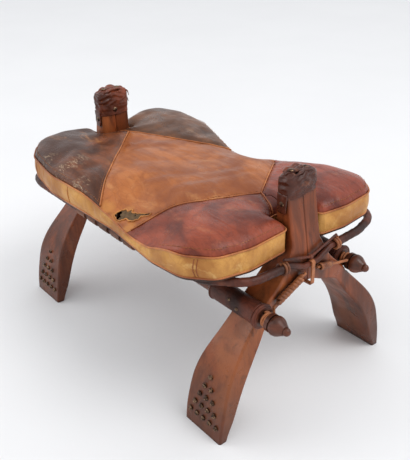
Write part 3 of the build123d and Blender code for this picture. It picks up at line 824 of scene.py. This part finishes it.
def add_welts(rim, low, surface):
    """The welt along the top edge, the piping under the band, and the seams of the top."""
    count = len(rim)
    lifted = []
    for i, p in enumerate(rim):
        along = rim[(i + 1) % count] - rim[i - 1]
        out = Vector((along.y, -along.x, 0)).normalized()
        if inside((p + out * 2 * MM).xy / MM, OUTLINE):
            out = -out
        lifted.append(p + out * WELT_OUT * MM + mm(0, 0, WELT_ABOVE))
    welt = tube_mesh("welt", lifted, WELT_RADIUS * MM, 8, closed=True)
    cushion_piece("welt", welt, WELT)
    piping = tube_mesh("piping", low, PIPING_RADIUS * MM, 8, closed=True)
    cushion_piece("piping", piping, WELT)

    def corded(t, _):
        return (1.3 + 0.12 * sin(900 * t)) * MM

    lines = [seam_points(surface, a, b) for a, b in SEAM_LINES]
    seams = [tube_mesh("seam", line, corded, 8) for line in lines if len(line) > 2]
    cushion_piece("seams", seams, WELT)


def add_stitches(surface):
    """The stitches along the top edge, but not in the notches or the dip, and beside the seams."""
    runs = []
    for i, p in enumerate(OUTLINE):
        if in_notch(p) or edge_height(p) < SEAM - 8:
            continue
        inward = -out_of(OUTLINE, i) * RIM_STITCH_INSET
        q = p + inward
        runs.append((q, q.lerp(OUTLINE[(i + 1) % len(OUTLINE)] + inward, STITCH_SHARE)))
    for a, b in SEAM_LINES:
        across = Vector((b.y - a.y, a.x - b.x)).normalized() * SEAM_STITCH_ASIDE
        steps = round((b - a).length / STITCH_PITCH)
        for k in range(1, steps - 1):
            q, r = (a.lerp(b, at / steps) + across for at in (k, k + STITCH_SHARE))
            if outline_distance(q) > 4 and inside(q, OUTLINE) and not inside(q, TEAR):
                runs.append((q, r))
    stitches = []
    for run in runs:
        ends = [top_point(surface, end, STITCH_ABOVE) for end in run]
        if None not in ends:
            stitches.append(tube_mesh("stitch", ends, STITCH_RADIUS * MM, 5))
    cushion_piece("stitches", stitches, THREAD)


def band_seams(surface):
    """The upright seams of the band."""
    seams = []
    for x in BAND_SEAM_PLACES:
        line = []
        for height in BAND_SEAM_HEIGHTS:
            hit = surface.ray_cast(mm(x, BAND_SEAM_START, height), Vector((0, 1, 0)))[0]
            if hit is not None:
                line.append(hit + mm(0, -BAND_SEAM_OUT, 0))
        if len(line) > 3:
            seams.append(tube_mesh("upright", line, BAND_SEAM_RADIUS * MM, 6))
    cushion_piece("band_seams", seams, WELT)


def tear(surface):
    """The split in the middle panel: dark lining in the opening, and its ragged, curled edge."""
    line = arcs_through([(p, 2.0) for p in TEAR], 1.8)
    rim = [p + Vector((lump(p, 4, 1.3), lump(p, 4, 7.7))) * 1.5 for p in line]
    rows = []
    for share, above in LINING_ROWS:
        flat = [TEAR_MIDDLE + (p - TEAR_MIDDLE) * share for p in rim]
        rows.append([top_point(surface, q, above + 0.25 * lump(q, 3, 4.4)) for q in flat])
    cushion_piece("lining", rows_mesh("lining", rows), LINING)

    def curl(t, _):
        return (1.0 + 0.9 * abs(uneven(t * 19, 2.0, 5.0))) * MM

    edge = [top_point(surface, p, 0.9 + 0.8 * lump(p, 8, 5.5)) for p in rim]
    torn = tube_mesh("edge", edge, curl, 8, closed=True)
    cushion_piece("torn_edge", torn, RAGGED)


cushion_cover()


# Caps of crumpled leather on the posts

POST_HALF = 32.0
CAP_AROUND, CAP_LEVELS, CAP_TOP_LEVELS, CAP_FOLDS = 72, 30, 11, 5
CAP_SQUARENESS = 3.6
CAP_LIMIT, FLAP_LIMIT = 37.4, 36.8      # how far from the middle a cap and its flap may reach
CAP_FORM = {        # hem and top heights, and how far the top flares outwards and sideways, in millimetres
    "near": (377.0, 412.0, 2.5, 1.0),
    "far": (373.0, 421.0, 8.0, 3.0),
}
FRINGE_STRIPS = 7
FLAP_TOP, FLAP_LENGTH, FLAP_HALF_WIDTH, FLAP_TAPER = 384.0, 33.0, 10.5, 2.5
CAP_TACK, FLAP_TACK, FOOT_TACK = (10.5, 2.6), (9.6, 2.4), (9.4, 3.4)        # each head's diameter and rise
TACK_SINK, FOOT_TACK_SINK = 0.4, 2.2


def rounded_ring(half_x, half_y):
    """Points round a rectangle with rounded corners, each with its angle."""
    places = []
    for k in range(CAP_AROUND):
        angle = tau * (k + 0.5) / CAP_AROUND
        away = Vector((cos(angle), sin(angle)))
        share = (abs(away.x) / half_x) ** CAP_SQUARENESS + (abs(away.y) / half_y) ** CAP_SQUARENESS
        places.append((away / share ** (1 / CAP_SQUARENESS), angle))
    return places


def crumple(place, scale, seed):
    """Sharp folds, up to 1 on a ridge and far lower in a crease."""
    return 1 - abs(uneven(place.x / scale, place.y / scale, place.z / scale + seed)) * 2.4


def cap_rows(end, centre_x, half_x):
    """The rows of points up the sides of a cap and in over its top."""
    way = ENDS[end]
    hem, top, flare_out, flare_in = CAP_FORM[end]
    slope = 2.6 * sin(0.9 + way)
    rows = []
    for level in range(CAP_LEVELS):
        u = level / (CAP_LEVELS - 1)
        height = hem + u * (top - hem)
        swollen = 1.2 * sin(pi * min(1, 0.25 + u)) - 2.8 * max(0, u - 0.8) / 0.2
        hem_roll = 1.1 * exp(-(u / 0.06) ** 2) - 0.8 * exp(-((u - 0.2) / 0.05) ** 2)
        row = []
        for flat, angle in rounded_ring(half_x, POST_HALF + 1.6):
            outside = max(0, way * cos(angle))
            flare = u * (flare_out * outside + flare_in * (1 - outside))
            place = Vector((centre_x + flat.x, flat.y, height * 1.5))
            folds = 2.4 * (crumple(place, 17, 2.2 + way) - 0.62) + 0.6 * (crumple(place, 9, 5.0) - 0.6)
            out = flat.normalized() * (flare + swollen + folds * min(1, u * 1.6) + hem_roll)
            tilt = slope * sin(angle) + 1.8 * uneven(angle * 1.3, way, 4.0)
            y = max(-CAP_LIMIT, min(CAP_LIMIT, place.y + out.y))
            row.append(mm(place.x + out.x, y, height + tilt * (1 - u)))
        rows.append(row)
    brim = rows[-1]
    for level in range(1, CAP_TOP_LEVELS):
        inset = level / CAP_TOP_LEVELS
        row = []
        for edge in brim:
            spot = Vector((centre_x * MM, 0)).lerp(edge.xy, 1 - inset) / MM
            along = Vector((spot.x * 1.7, spot.y * 0.7, 3.0 + way))
            height = top + 3.6 * sqrt(min(1, inset * 2.5))
            height += 4.4 * (crumple(along, 13, 0.4) - 0.5) + 0.7 * (crumple(along, 6, 3.0) - 0.6)
            row.append(mm(spot.x, spot.y, height))
        rows.append(row)
    return rows


def cap_fold(end, number, centre_x, half_x):
    """One of the rolled folds that lie across the top of a cap."""
    way = ENDS[end]
    low = CAP_FORM[end][1] + 1.6
    aside = number - (CAP_FOLDS - 1) / 2
    reach = (POST_HALF - 4) * (1 - 0.12 * abs(aside))
    path = []
    for k in range(25):
        t = k / 24
        x = centre_x + aside * half_x * 0.38 + 5.5 * uneven(t * 2.6, number * 3.7, way)
        lift = 2.6 * uneven(t * 3.4, number * 1.9, 7 + way)
        path.append(mm(x, (2 * t - 1) * reach, low + 3.0 * sin(pi * t) + lift))

    def thick(t, _):
        swollen = sin(pi * t) ** 0.6 * (1 + 0.5 * uneven(t * 5, number * 2.3, 1.5))
        return (1.0 + (3.6 - 0.3 * number) * swollen) * MM

    return tube_mesh("fold", path, thick, 12, flat=0.7)


def cap_strip(number, centre_x, half_x):
    """One of the torn strips that hang from the right edge of the far cap."""
    high = CAP_FORM["far"][1] - 2 - (number % 3) * 7
    start = Vector((centre_x + half_x * (0.2 * number - 0.5), POST_HALF - 2, high))
    path = []
    for k in range(7):
        t = k / 6
        x = 3.0 * uneven(number * 2.0, t * 2, 1) + 2.0 * t
        y = 6.0 * sqrt(t) + 0.8 * sin(3 * t + number)
        path.append((start + Vector((x, y, -13 * t * t))) * MM)
    return tube_mesh("strip", path, lambda t, _: (3.4 - 2.2 * t) * MM, 8, flat=0.45)


def cap_flap(end, centre_x):
    """The flap that hangs down the left face of a post under the cap's tack."""
    rows = []
    for k in range(12):
        t = k / 11
        height = FLAP_TOP - t * FLAP_LENGTH
        half = FLAP_HALF_WIDTH - FLAP_TAPER * t * t
        row = []
        for a in range(16):
            angle = tau * (a + 0.5) / 16
            x = centre_x + ENDS[end] + half * max(-1, min(1, 1.25 * cos(angle)))
            lift = 0.9 + 0.63 * uneven(x / 8, height / 8, 3.0)
            y = -POST_HALF - 1.2 - lift * (1 - sin(angle))
            row.append(mm(x, max(-FLAP_LIMIT, y), height))
        rows.append(row)
    piece(f"{end}_cap_flap", rows_mesh("flap", rows), CAP_LEATHER, "frame")


def tack_head(place, out, diameter, rise):
    """A domed tack head on a surface."""
    side = out.orthogonal().normalized()
    up = out.cross(side)
    ring = [side * cos(tau * a / 20) + up * sin(tau * a / 20) for a in range(20)]
    rows = []
    for k in range(7):
        angle = radians(90 * k / 6.4)
        reach = diameter / 2 * cos(angle) * MM
        height = (rise * sin(angle) - TACK_SINK) * MM
        rows.append([place + away * reach + out * height for away in ring])
    return rows_mesh("tack", rows)


def cap_tacks(end, centre_x, cover):
    """The tacks of a cap, set on its crumpled leather."""
    surface = BVHTree.FromObject(cover, bpy.context.evaluated_depsgraph_get())
    aims = [(Vector((centre_x, side * POST_HALF / 2, 460)), DOWN) for side in (-1, 1)]
    if end == "far":
        aims.append((Vector((centre_x + 60, -2, 385)), Vector((-1, 0, 0))))
    heads = [tack_head(surface.ray_cast(start * MM, way)[0], -way, *CAP_TACK) for start, way in aims]
    flap_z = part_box(f"{end}_cap_tacks")[0][2] / MM + 5
    flap_place = mm(centre_x + ENDS[end], -POST_HALF - 3.0, flap_z)
    heads.append(tack_head(flap_place, Vector((0, -1, 0)), *FLAP_TACK))
    made = piece(f"{end}_tack_heads", heads, TACK, "frame")
    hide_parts(f"{end}_cap_tacks")


def post_cap(end):
    """A post's cap: leather drawn over the top, folded on itself, with a tacked flap and its tacks."""
    low, high = (Vector(c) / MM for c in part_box(f"{end}_post_cap"))
    centre_x = (low.x + high.x) / 2
    half_x = (high.x - low.x) / 2 - 1.0
    meshes = [rows_mesh("cap", cap_rows(end, centre_x, half_x))]
    meshes += [cap_fold(end, number, centre_x, half_x) for number in range(CAP_FOLDS)]
    if end == "far":
        meshes += [cap_strip(number, centre_x, half_x) for number in range(FRINGE_STRIPS)]
    made = piece(f"{end}_cap_cover", meshes, CAP_LEATHER, "frame")
    smoothed(made)
    cap_flap(end, centre_x)
    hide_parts(f"{end}_post_cap")
    cap_tacks(end, centre_x, made)


for end in ENDS:
    post_cap(end)


# Hoop bound in overlapping turns of leather

HOOP_REACH, HOOP_HALF_WIDTH, HOOP_GAP, HOOP_WAIST, HOOP_CORNER = 304.0, 193.0, 62.0, 180.0, 52.0
LEFT_HOOP_SHARES = (
    (0.987, 0.668), (0.8, 0.92), (0.493, 1.0), (-0.8, 1.0), (-0.95, 0.945), (-1.007, 0.62),
)
RIGHT_HOOP_SHARES = ((0.99, 0.64), (0.935, 0.925), (0.74, 1.055))
WAIST_SHARE = 0.333
WRAP_PITCH = 15.0
HOOP_COVER = 0.9        # the thickness of the leather wound round the hoop, in millimetres
LAP_RISE, LAP_EDGE, LAP_SINK = 0.75, 0.07, 0.55
HOOP_STEP = 2.4


def hoop_line(side):
    """The middle line of one half of the hoop, seen from above."""
    if side == "left":
        bends = [(s * HOOP_REACH, -t * HOOP_HALF_WIDTH) for s, t in LEFT_HOOP_SHARES]
    else:
        near = [(s * HOOP_REACH, t * HOOP_HALF_WIDTH) for s, t in RIGHT_HOOP_SHARES]
        waist = [(WAIST_SHARE * HOOP_REACH, HOOP_WAIST), (-WAIST_SHARE * HOOP_REACH, HOOP_WAIST)]
        bends = near + waist + [(-x, y) for x, y in reversed(near)]
    gap = SIDES[side] * HOOP_GAP
    corners = [(Vector(p), HOOP_CORNER) for p in [(HOOP_REACH, gap), *bends, (-HOOP_REACH, gap)]]
    return arcs_through(corners, HOOP_STEP, closed=False)


def bound_hoop(side):
    """A half of the hoop under its spiral of leather, each turn lapping over the last."""
    low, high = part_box(f"{side}_hoop")
    height = (low[2] + high[2]) / 2
    radius = (high[2] - low[2]) / 2 / MM + HOOP_COVER
    flat = hoop_line(side)
    length = sum((b - a).length for a, b in zip(flat, flat[1:]))

    def bound(t, angle):
        turn = (t * length / WRAP_PITCH + angle / tau) % 1
        lap = LAP_RISE * turn ** 0.6 * (1 - max(0, turn - 1 + LAP_EDGE) / LAP_EDGE)
        return (radius - LAP_SINK + lap + 0.25 * uneven(t * length / 11, angle, 2.0)) * MM

    path = [Vector((p.x * MM, p.y * MM, height)) for p in flat]
    binding = tube_mesh("hoop", path, bound, 26)
    made = piece(f"{side}_hoop_binding", binding, DARK_LEATHER, "frame")
    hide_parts(f"{side}_hoop")


CROSS_STRAPS, STRAP_PITCH, STRAP_WIDTH, STRAP_THICKNESS, STRAP_RETURN = 5, 38.0, 26.0, 2.4, 34.0


def cross_strap(centre, height, left, right, radius):
    """A flat strap looped over both halves of the hoop, and back a little way under itself."""
    path = [Vector((left + STRAP_RETURN, height - radius))]
    for place, turn in ((left, -1), (right, 1)):
        for k in range(9):
            angle = pi * k / 8
            out, up = turn * radius * sin(angle), turn * radius * cos(angle)
            path.append(Vector((place + out, height + up)))
    path.append(Vector((right - STRAP_RETURN, height - radius)))
    rows = []
    for k, p in enumerate(path):
        ahead = (path[min(k + 1, len(path) - 1)] - path[max(k - 1, 0)]).normalized()
        out = Vector((-ahead.y, ahead.x)) * STRAP_THICKNESS / 2
        row = []
        for x, side in ((-0.5, 1), (0.5, 1), (0.5, -1), (-0.5, -1)):
            q = p + out * side
            row.append(mm(centre + x * STRAP_WIDTH, q.x, q.y))
        rows.append(row)
    return rows_mesh("strap", rows)


def cross_straps():
    """The straps that carry the cushion across the hoop."""
    low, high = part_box("left_hoop")
    height = (low[2] + high[2]) / 2 / MM
    radius = (high[2] - low[2]) / 2 / MM + HOOP_COVER + STRAP_THICKNESS / 2
    straps = []
    for number in range(CROSS_STRAPS):
        centre = (number - (CROSS_STRAPS - 1) / 2) * STRAP_PITCH
        straps.append(cross_strap(centre, height, -HOOP_HALF_WIDTH, HOOP_WAIST, radius))
    made = piece("seat_straps", straps, STRAP, "frame", smooth=False)
    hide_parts("seat_cross_straps")


for side in SIDES:
    bound_hoop(side)
cross_straps()


# Lashings of flat thong

TAPE_THICKNESS, TAPE_POINTS = 1.9, 26
TAPE_PROFILE = ((-0.5, 0.15), (-0.36, 0.85), (0, 1.0), (0.36, 0.85), (0.5, 0.15), (0, 0))
LASHING_END = 6.2       # how far the winding stops short of its node's box, in millimetres
LASHINGS = {"left": (4.4, 7.4, 9, 0.0), "right": (3.2, 7.0, 6, 0.5)}     # radius, width, turns, flare


def tape(start, stop, radius, width, turns, flare):
    """A flat thong wound along a run, each turn a little uneven."""
    ahead = (stop - start).normalized()
    side = ahead.orthogonal().normalized()
    up = ahead.cross(side)
    length = (stop - start).length
    rows = []
    steps = turns * TAPE_POINTS
    for k in range(steps + 1):
        t = k / steps
        angle = tau * turns * t
        away = side * cos(angle) + up * sin(angle)
        size = radius * (1 + flare * t) + 0.35 * uneven(t * 9, radius, 1.0)
        slip = 0.5 * uneven(t * turns, 3.3, radius)
        at = start + ahead * (length * t + slip * MM)
        row = []
        for along, out in TAPE_PROFILE:
            row.append(at + ahead * along * width * MM + away * (size + out * TAPE_THICKNESS) * MM)
        rows.append(row)
    return rows_mesh("tape", rows)


def lashing(end, side):
    """The flat thong that binds a lashing, from the neck of a pole to the arch."""
    low, high = (Vector(c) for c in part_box(f"{end}_{side}_lashing_wrap"))
    reach = LASHING_END * MM
    across = SIDES[side]
    middle_x = (low.x + high.x) / 2
    outer_y, inner_y = (low.y, high.y) if across < 0 else (high.y, low.y)
    start = Vector((middle_x, outer_y - across * reach, low.z + reach))
    stop = Vector((middle_x, inner_y + across * reach, high.z - reach))
    made = piece(f"{end}_{side}_lashing", tape(start, stop, *LASHINGS[side]), THONG, "frame")
    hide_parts(f"{end}_{side}_lashing_wrap")


def collar(end, side):
    """The rolled leather collar at the end of a sleeve, and the hem at its other end."""
    low, high = (Vector(c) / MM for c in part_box(f"{end}_{side}_sleeve"))
    outer = high.x if end == "near" else low.x
    inner = low.x if end == "near" else high.x
    way = ENDS[end]
    centre = Vector((0, (low.y + high.y) / 2, (low.z + high.z) / 2))
    radius = (high.y - low.y) / 2
    meshes = []
    rings = ((outer - way * 3.5, 2.6, 0.6), (outer - way * 9.0, 1.6, 0.2), (inner + way * 3, 1.3, 0.1))
    for x, fat, grown in rings:
        ring = []
        for k in range(48):
            c, s = cos(tau * k / 48), sin(tau * k / 48)
            size = radius + grown + 0.4 * uneven(c, s, x)
            ring.append(mm(x, centre.y + size * c, centre.z + size * s))
        meshes.append(tube_mesh("ring", ring, fat * MM, 8, closed=True))
    piece(f"{end}_{side}_collar", meshes, DARK_LEATHER, "frame")


for end in ENDS:
    for side in SIDES:
        lashing(end, side)
        collar(end, side)


def foot_tacks(end, side):
    """The domed tacks of a foot, each where its node has one."""
    work = bmesh.new()
    work.from_mesh(nodes[f"{end}_{side}_foot_tacks"].data)
    taken = set()
    heads = []
    for first in work.verts:
        if first.index in taken:
            continue
        taken.add(first.index)
        group = [first]
        for v in group:
            beside = [e.other_vert(v) for e in v.link_edges]
            fresh = [other for other in beside if other.index not in taken]
            taken.update(other.index for other in fresh)
            group += fresh
        tip = max(group, key=lambda v: v.co.y * SIDES[side]).co
        middle = sum((v.co for v in group), Vector()) / len(group)
        out = (tip - middle).normalized()
        heads.append(tack_head(tip - out * FOOT_TACK_SINK * MM, out, *FOOT_TACK))
    work.free()
    made = piece(f"{end}_{side}_foot_heads", heads, TACK, "frame")
    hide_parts(f"{end}_{side}_foot_tacks")


for end in ENDS:
    for side in SIDES:
        foot_tacks(end, side)


def add_floor():
    """A pale floor and an even pale light all round."""
    work = bpy.data.meshes.new("floor")
    corners = [(x * FLOOR_REACH, y * FLOOR_REACH, 0) for x, y in ((-1, -1), (1, -1), (1, 1), (-1, 1))]
    work.from_pydata(corners, [], [(0, 1, 2, 3)])
    floor = placed("floor", work)
    s = Shader("floor")
    shade = s.mix(s.steps(s.noise(2.0, 3), 0.3, 0.7), FLOOR_COLOUR, FLOOR_SHADE)
    work.materials.append(s.finish(shade, 0.6, s.bump(s.noise(30, 3), 0.0005)))
    world = bpy.data.worlds.new("world")
    bpy.context.scene.world = world
    world.use_nodes = True
    shown = world.node_tree.nodes["Background"]
    shown.inputs["Color"].default_value = SKY_COLOUR
    shown.inputs["Strength"].default_value = SKY_STRENGTH


add_camera()
for lamp in LAMPS:
    add_lamp(*lamp)
add_floor()
bpy.context.scene.view_settings.view_transform = "Standard"
